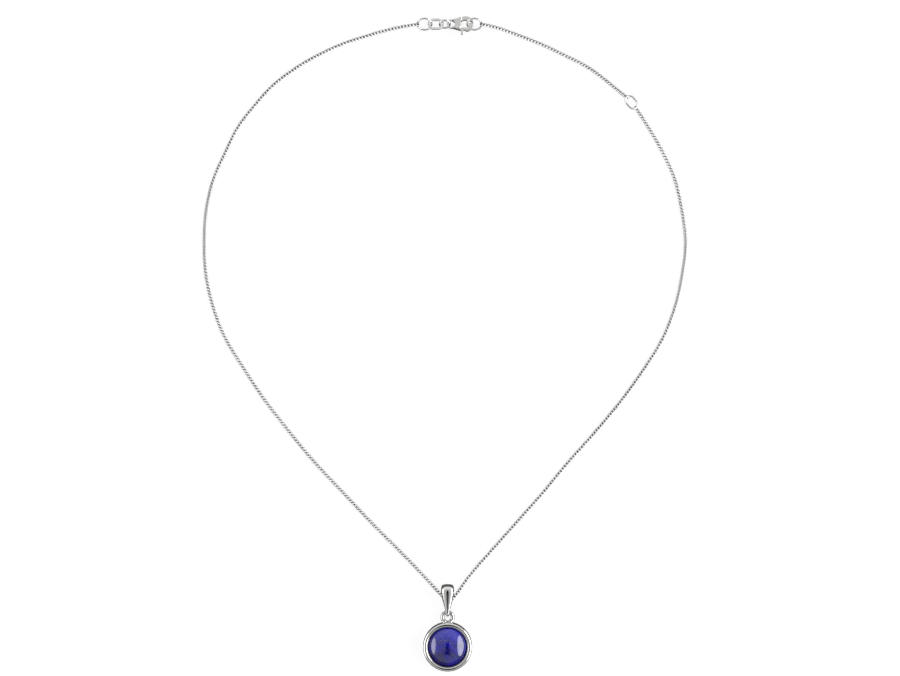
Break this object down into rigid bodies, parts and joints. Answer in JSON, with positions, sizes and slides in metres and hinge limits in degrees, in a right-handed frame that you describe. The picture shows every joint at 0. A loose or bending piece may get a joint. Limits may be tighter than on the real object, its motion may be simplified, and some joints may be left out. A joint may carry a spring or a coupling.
{
  "type": "pendant necklace",
  "caption": "Fine curb-link chain with a lobster clasp, an adjuster ring and a bail holding a round blue cabochon in a rimmed silver bezel.",
  "frame": {"origin": "middle of the pendant's flat back plate, on its underside", "axes": "+Z out through the dome of the stone, +Y from the pendant towards the clasp, +X to the adjuster ring's side"},
  "size_m": [0.1387, 0.1868, 0.0052],
  "materials": {
    "lapis": "polished deep blue stone with pyrite flecks",
    "polished_silver": "polished silver",
    "satin_silver": "satin silver",
    "ring_silver": "bright drawn wire",
    "chain_silver": "bright curb links",
    "cast_silver": "tumbled cast silver",
    "spring_steel": "spring steel wire"
  },
  "bodies": {
    "front_chain": {"front_chain": "chain_silver"},
    "bail": {"bail": "polished_silver"},
    "pendant": {"cabochon": "lapis", "bezel": "polished_silver", "back_plate": "satin_silver", "pendant_loop": "polished_silver"},
    "left_chain_1": {"left_chain_1": "chain_silver"},
    "left_chain_2": {"left_chain_2": "chain_silver"},
    "left_chain_3": {"left_chain_3": "chain_silver"},
    "left_chain_4": {"left_chain_4": "chain_silver"},
    "left_chain_5": {"left_chain_5": "chain_silver"},
    "left_chain_6": {"left_chain_6": "chain_silver"},
    "left_chain_7": {"left_chain_7": "chain_silver"},
    "left_chain_8": {"left_chain_8": "chain_silver"},
    "left_chain_9": {"left_chain_9": "chain_silver"},
    "right_chain_1": {"right_chain_1": "chain_silver"},
    "right_chain_2": {"right_chain_2": "chain_silver"},
    "right_chain_3": {"right_chain_3": "chain_silver"},
    "right_chain_4": {"right_chain_4": "chain_silver"},
    "right_chain_5": {"right_chain_5": "chain_silver"},
    "right_chain_6": {"right_chain_6": "chain_silver"},
    "right_chain_7": {"right_chain_7": "chain_silver"},
    "right_chain_8": {"right_chain_8": "chain_silver", "extender_chain_1": "chain_silver"},
    "extender_chain_2": {"extender_chain_2": "chain_silver"},
    "adjuster_ring": {"adjuster_ring": "ring_silver"},
    "left_end_ring": {"left_end_ring": "ring_silver"},
    "right_end_ring": {"right_end_ring": "ring_silver"},
    "plain_tag": {"plain_tag": "satin_silver"},
    "jump_ring": {"jump_ring": "ring_silver"},
    "clasp": {"clasp_body": "cast_silver", "lever_rivet": "ring_silver", "lever_spring": "spring_steel"},
    "clasp_lever": {"clasp_lever": "cast_silver"}
  },
  "joints": [
    {"name": "bail_swing", "type": "hinge", "parent": "front_chain", "child": "bail", "pos_m": [0, 0.01299, 0.00155], "axis": [1, 0, 0], "range_deg": [-12, 8]},
    {"name": "pendant_swing", "type": "hinge", "parent": "bail", "child": "pendant", "pos_m": [0, 0.00979, 0.00122], "axis": [1, 0, 0], "range_deg": [-70, 70]},
    {"name": "fold_1", "type": "hinge", "parent": "front_chain", "child": "left_chain_1", "pos_m": [0, 0.02499, 0.0006], "axis": [1, 0, 0], "range_deg": [-30, 30]},
    {"name": "fold_1_right", "type": "hinge", "parent": "front_chain", "child": "right_chain_1", "pos_m": [0, 0.02499, 0.0006], "axis": [1, 0, 0], "range_deg": [-30, 30]},
    {"name": "fold_2", "type": "hinge", "parent": "left_chain_1", "child": "left_chain_2", "pos_m": [0, 0.04299, 0.0006], "axis": [1, 0, 0], "range_deg": [-30, 30]},
    {"name": "fold_2_right", "type": "hinge", "parent": "right_chain_1", "child": "right_chain_2", "pos_m": [0, 0.04299, 0.0006], "axis": [1, 0, 0], "range_deg": [-30, 30]},
    {"name": "fold_3", "type": "hinge", "parent": "left_chain_2", "child": "left_chain_3", "pos_m": [0, 0.06098, 0.0006], "axis": [1, 0, 0], "range_deg": [-30, 30]},
    {"name": "fold_3_right", "type": "hinge", "parent": "right_chain_2", "child": "right_chain_3", "pos_m": [0, 0.06098, 0.0006], "axis": [1, 0, 0], "range_deg": [-30, 30]},
    {"name": "fold_4", "type": "hinge", "parent": "left_chain_3", "child": "left_chain_4", "pos_m": [0, 0.07898, 0.0006], "axis": [1, 0, 0], "range_deg": [-30, 30]},
    {"name": "fold_4_right", "type": "hinge", "parent": "right_chain_3", "child": "right_chain_4", "pos_m": [0, 0.07898, 0.0006], "axis": [1, 0, 0], "range_deg": [-30, 30]},
    {"name": "fold_5", "type": "hinge", "parent": "left_chain_4", "child": "left_chain_5", "pos_m": [0, 0.09699, 0.0006], "axis": [1, 0, 0], "range_deg": [-30, 30]},
    {"name": "fold_5_right", "type": "hinge", "parent": "right_chain_4", "child": "right_chain_5", "pos_m": [0, 0.09699, 0.0006], "axis": [1, 0, 0], "range_deg": [-30, 30]},
    {"name": "fold_6", "type": "hinge", "parent": "left_chain_5", "child": "left_chain_6", "pos_m": [0, 0.11499, 0.0006], "axis": [1, 0, 0], "range_deg": [-30, 30]},
    {"name": "fold_6_right", "type": "hinge", "parent": "right_chain_5", "child": "right_chain_6", "pos_m": [0, 0.11499, 0.0006], "axis": [1, 0, 0], "range_deg": [-30, 30]},
    {"name": "fold_7", "type": "hinge", "parent": "left_chain_6", "child": "left_chain_7", "pos_m": [0, 0.13298, 0.0006], "axis": [1, 0, 0], "range_deg": [-30, 30]},
    {"name": "fold_7_right", "type": "hinge", "parent": "right_chain_6", "child": "right_chain_7", "pos_m": [0, 0.13298, 0.0006], "axis": [1, 0, 0], "range_deg": [-30, 30]},
    {"name": "fold_8", "type": "hinge", "parent": "left_chain_7", "child": "left_chain_8", "pos_m": [0, 0.14799, 0.0006], "axis": [1, 0, 0], "range_deg": [-30, 30]},
    {"name": "fold_8_right", "type": "hinge", "parent": "right_chain_7", "child": "right_chain_8", "pos_m": [0, 0.14799, 0.0006], "axis": [1, 0, 0], "range_deg": [-30, 30]},
    {"name": "fold_9", "type": "hinge", "parent": "left_chain_8", "child": "left_chain_9", "pos_m": [0, 0.16598, 0.0006], "axis": [1, 0, 0], "range_deg": [-30, 30]},
    {"name": "fold_9_right", "type": "hinge", "parent": "right_chain_8", "child": "extender_chain_2", "pos_m": [0, 0.16598, 0.0006], "axis": [1, 0, 0], "range_deg": [-30, 30]},
    {"name": "left_end_ring_roll", "type": "hinge", "parent": "left_chain_9", "child": "left_end_ring", "pos_m": [0, 0.17749, 0.00166], "axis": [1, 0, 0], "range_deg": [-5, 25]},
    {"name": "plain_tag_roll", "type": "hinge", "parent": "left_chain_9", "child": "plain_tag", "pos_m": [0, 0.17749, 0.00166], "axis": [1, 0, 0], "range_deg": [-25, 5]},
    {"name": "jump_ring_roll", "type": "hinge", "parent": "left_chain_9", "child": "jump_ring", "pos_m": [0, 0.17749, 0.00166], "axis": [1, 0, 0], "range_deg": [-5, 25]},
    {"name": "clasp_roll", "type": "hinge", "parent": "left_chain_9", "child": "clasp", "pos_m": [0, 0.17749, 0.00166], "axis": [1, 0, 0], "range_deg": [-25, 3]},
    {"name": "right_end_ring_roll", "type": "hinge", "parent": "extender_chain_2", "child": "right_end_ring", "pos_m": [0, 0.17749, 0.00166], "axis": [1, 0, 0], "range_deg": [-3, 25]},
    {"name": "adjuster_ring_roll", "type": "hinge", "parent": "right_chain_8", "child": "adjuster_ring", "pos_m": [0.0525, 0.15529, 0.00076], "axis": [-0.6561, 0.7547, 0], "range_deg": [-15, 20]},
    {"name": "lever_press", "type": "hinge", "parent": "clasp", "child": "clasp_lever", "pos_m": [0.0032, 0.17651, 0.00186], "axis": [0, 0.2079, 0.9781], "range_deg": [0, 25], "stiffness_Nm_per_rad": 0.0005, "springref_deg": -17.19}
  ],
  "couplings": [
    {"joint": "fold_1_right", "follows": "fold_1", "ratio": 1},
    {"joint": "fold_2_right", "follows": "fold_2", "ratio": 1},
    {"joint": "fold_3_right", "follows": "fold_3", "ratio": 1},
    {"joint": "fold_4_right", "follows": "fold_4", "ratio": 1},
    {"joint": "fold_5_right", "follows": "fold_5", "ratio": 1},
    {"joint": "fold_6_right", "follows": "fold_6", "ratio": 1},
    {"joint": "fold_7_right", "follows": "fold_7", "ratio": 1},
    {"joint": "fold_8_right", "follows": "fold_8", "ratio": 1},
    {"joint": "fold_9_right", "follows": "fold_9", "ratio": 1}
  ]
}
